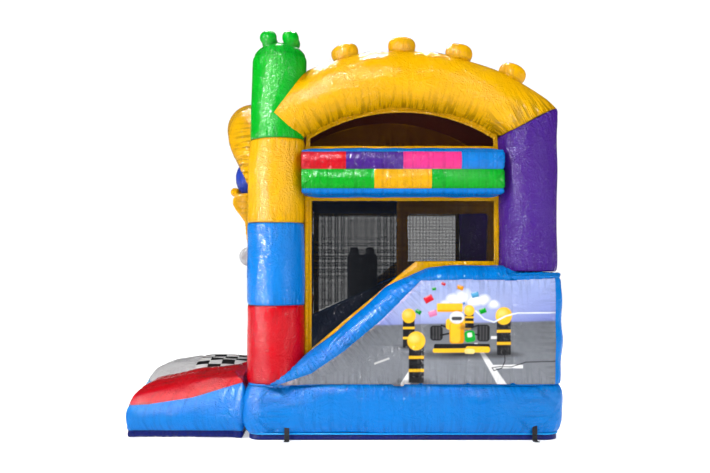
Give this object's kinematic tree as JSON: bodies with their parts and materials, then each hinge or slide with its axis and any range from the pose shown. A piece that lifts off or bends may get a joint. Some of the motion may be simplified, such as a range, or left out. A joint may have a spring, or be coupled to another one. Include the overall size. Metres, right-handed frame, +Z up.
{
  "type": "inflatable bounce house",
  "caption": "Inflatable bounce house: towers, arches and mesh windows over a jump floor and slide lane, with landing pad, entrance step, anchor rings, deflation zip and blower.",
  "frame": {"origin": "centre of the base's underside, between its side walls and between its front and rear edges", "axes": "+Z up, the entrance front faces -Y, the slide lane is on +X"},
  "size_m": [4.8659, 4.798, 4.1982],
  "materials": {
    "ground_sheet": "matte",
    "base_side_band": "satin",
    "jump_floor": "satin",
    "floor_baffles": "matte",
    "side_wall_right": "satin",
    "side_wall_left": "satin",
    "rear_wall": "satin",
    "print_panel_right": "satin",
    "print_panel_left": "satin",
    "tower_right_red_band": "satin",
    "tower_right_blue_band": "satin",
    "tower_right_yellow_band": "satin",
    "tower_right_green_top": "satin",
    "tower_left_red_band": "satin",
    "tower_left_blue_band": "satin",
    "tower_left_yellow_band": "satin",
    "tower_left_green_top": "satin",
    "tower_knobs": "satin",
    "rear_pillar_right": "satin",
    "rear_pillar_left": "satin",
    "side_arch_right": "satin",
    "side_arch_left": "satin",
    "arch_knobs": "satin",
    "front_arch": "satin",
    "rear_header": "satin",
    "side_header_right": "satin",
    "side_header_left": "satin",
    "roof_sheet": "satin",
    "lower_mesh_right": "matte",
    "lower_mesh_left": "matte",
    "upper_mesh_right": "matte",
    "upper_mesh_left": "matte",
    "rear_mesh": "matte",
    "window_frames": "satin",
    "slide_ramp": "satin",
    "rear_platform": "satin",
    "divider_wall": "satin",
    "divider_mesh": "matte",
    "climb_steps": "satin",
    "bop_post": "satin",
    "landing_pad": "satin",
    "entrance_step": "satin",
    "front_post": "satin",
    "front_ornament": "satin",
    "ornament_wheels": "matte",
    "anchor_tabs": "matte",
    "zip_tape": "matte",
    "inflation_sleeve": "satin",
    "sleeve_strap": "matte",
    "blower_housing": "matte",
    "blower_motor": "satin",
    "ring_right_front": "satin",
    "ring_right_rear": "satin",
    "ring_left_front": "satin",
    "ring_left_rear": "satin",
    "ring_back_right": "satin",
    "ring_back_left": "satin",
    "zip_slider": "satin",
    "blower_impeller": "matte",
    "blower_switch": "matte"
  },
  "bodies": {
    "castle": {"ground_sheet": "ground_sheet", "base_side_band": "base_side_band", "jump_floor": "jump_floor", "floor_baffles": "floor_baffles", "side_wall_right": "side_wall_right", "side_wall_left": "side_wall_left", "rear_wall": "rear_wall", "print_panel_right": "print_panel_right", "print_panel_left": "print_panel_left", "tower_right_red_band": "tower_right_red_band", "tower_right_blue_band": "tower_right_blue_band", "tower_right_yellow_band": "tower_right_yellow_band", "tower_right_green_top": "tower_right_green_top", "tower_left_red_band": "tower_left_red_band", "tower_left_blue_band": "tower_left_blue_band", "tower_left_yellow_band": "tower_left_yellow_band", "tower_left_green_top": "tower_left_green_top", "tower_knobs": "tower_knobs", "rear_pillar_right": "rear_pillar_right", "rear_pillar_left": "rear_pillar_left", "side_arch_right": "side_arch_right", "side_arch_left": "side_arch_left", "arch_knobs": "arch_knobs", "front_arch": "front_arch", "rear_header": "rear_header", "side_header_right": "side_header_right", "side_header_left": "side_header_left", "roof_sheet": "roof_sheet", "lower_mesh_right": "lower_mesh_right", "lower_mesh_left": "lower_mesh_left", "upper_mesh_right": "upper_mesh_right", "upper_mesh_left": "upper_mesh_left", "rear_mesh": "rear_mesh", "window_frames": "window_frames", "slide_ramp": "slide_ramp", "rear_platform": "rear_platform", "divider_wall": "divider_wall", "divider_mesh": "divider_mesh", "climb_steps": "climb_steps", "bop_post": "bop_post", "landing_pad": "landing_pad", "entrance_step": "entrance_step", "front_post": "front_post", "front_ornament": "front_ornament", "ornament_wheels": "ornament_wheels", "anchor_tabs": "anchor_tabs", "zip_tape": "zip_tape", "inflation_sleeve": "inflation_sleeve", "sleeve_strap": "sleeve_strap", "blower_housing": "blower_housing", "blower_motor": "blower_motor"},
    "ring_right_front": {"ring_right_front": "ring_right_front"},
    "ring_right_rear": {"ring_right_rear": "ring_right_rear"},
    "ring_left_front": {"ring_left_front": "ring_left_front"},
    "ring_left_rear": {"ring_left_rear": "ring_left_rear"},
    "ring_back_right": {"ring_back_right": "ring_back_right"},
    "ring_back_left": {"ring_back_left": "ring_back_left"},
    "zip_slider": {"zip_slider": "zip_slider"},
    "blower_impeller": {"blower_impeller": "blower_impeller"},
    "blower_switch": {"blower_switch": "blower_switch"}
  },
  "joints": [
    {"name": "ring_right_front_lift", "type": "hinge", "parent": "castle", "child": "ring_right_front", "pos_m": [1.83, -1.17, 0.008], "axis": [0, -1, 0], "range_deg": [0, 110]},
    {"name": "ring_right_rear_lift", "type": "hinge", "parent": "castle", "child": "ring_right_rear", "pos_m": [1.83, 1.31, 0.008], "axis": [0, -1, 0], "range_deg": [0, 110]},
    {"name": "ring_left_front_lift", "type": "hinge", "parent": "castle", "child": "ring_left_front", "pos_m": [-1.83, -1.17, 0.008], "axis": [0, 1, 0], "range_deg": [0, 110]},
    {"name": "ring_left_rear_lift", "type": "hinge", "parent": "castle", "child": "ring_left_rear", "pos_m": [-1.83, 1.31, 0.008], "axis": [0, 1, 0], "range_deg": [0, 110]},
    {"name": "ring_back_right_lift", "type": "hinge", "parent": "castle", "child": "ring_back_right", "pos_m": [1.1, 1.68, 0.008], "axis": [1, 0, 0], "range_deg": [0, 110]},
    {"name": "ring_back_left_lift", "type": "hinge", "parent": "castle", "child": "ring_back_left", "pos_m": [-1.1, 1.68, 0.008], "axis": [1, 0, 0], "range_deg": [0, 110]},
    {"name": "zip_travel", "type": "slide", "parent": "castle", "child": "zip_slider", "axis": [1, 0, 0], "range_m": [0, 0.58]},
    {"name": "impeller_spin", "type": "hinge", "parent": "castle", "child": "blower_impeller", "pos_m": [-2.76, 1, 0.33], "axis": [0, 1, 0], "continuous": true},
    {"name": "switch_rock", "type": "hinge", "parent": "castle", "child": "blower_switch", "pos_m": [-2.67, 1, 0.556], "axis": [0, 1, 0], "range_deg": [0, 14]}
  ]
}
